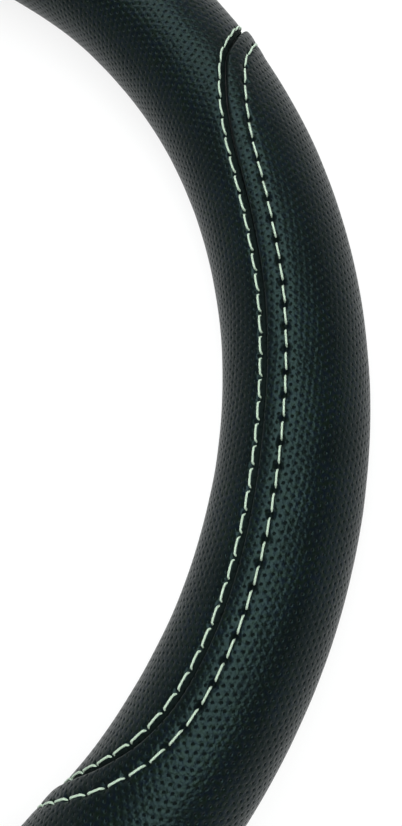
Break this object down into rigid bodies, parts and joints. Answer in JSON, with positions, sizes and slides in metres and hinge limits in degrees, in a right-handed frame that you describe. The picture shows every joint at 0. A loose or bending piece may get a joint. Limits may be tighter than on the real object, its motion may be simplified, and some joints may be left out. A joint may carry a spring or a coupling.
{
  "type": "steering wheel cover",
  "caption": "ring-shaped grip cover that slips over a car steering wheel: perforated black leather panels with pale double-stitched seams over a rubber ring",
  "frame": {"origin": "under the middle of the outline, on the surface that the cover lies on", "axes": "+Z out of the face towards the driver, +Y to 12 o'clock, +X to 3 o'clock"},
  "size_m": [0.3876, 0.3872, 0.0413],
  "materials": {
    "leather": "perforated, soft matt",
    "rubber": "matt",
    "thread": "satin"
  },
  "bodies": {
    "root": {"rubber_liner": "rubber", "upper_panel": "leather", "lower_panel": "leather", "right_seam_upper_thread": "thread", "right_seam_lower_thread": "thread", "left_seam_upper_thread": "thread", "left_seam_lower_thread": "thread"}
  },
  "joints": []
}
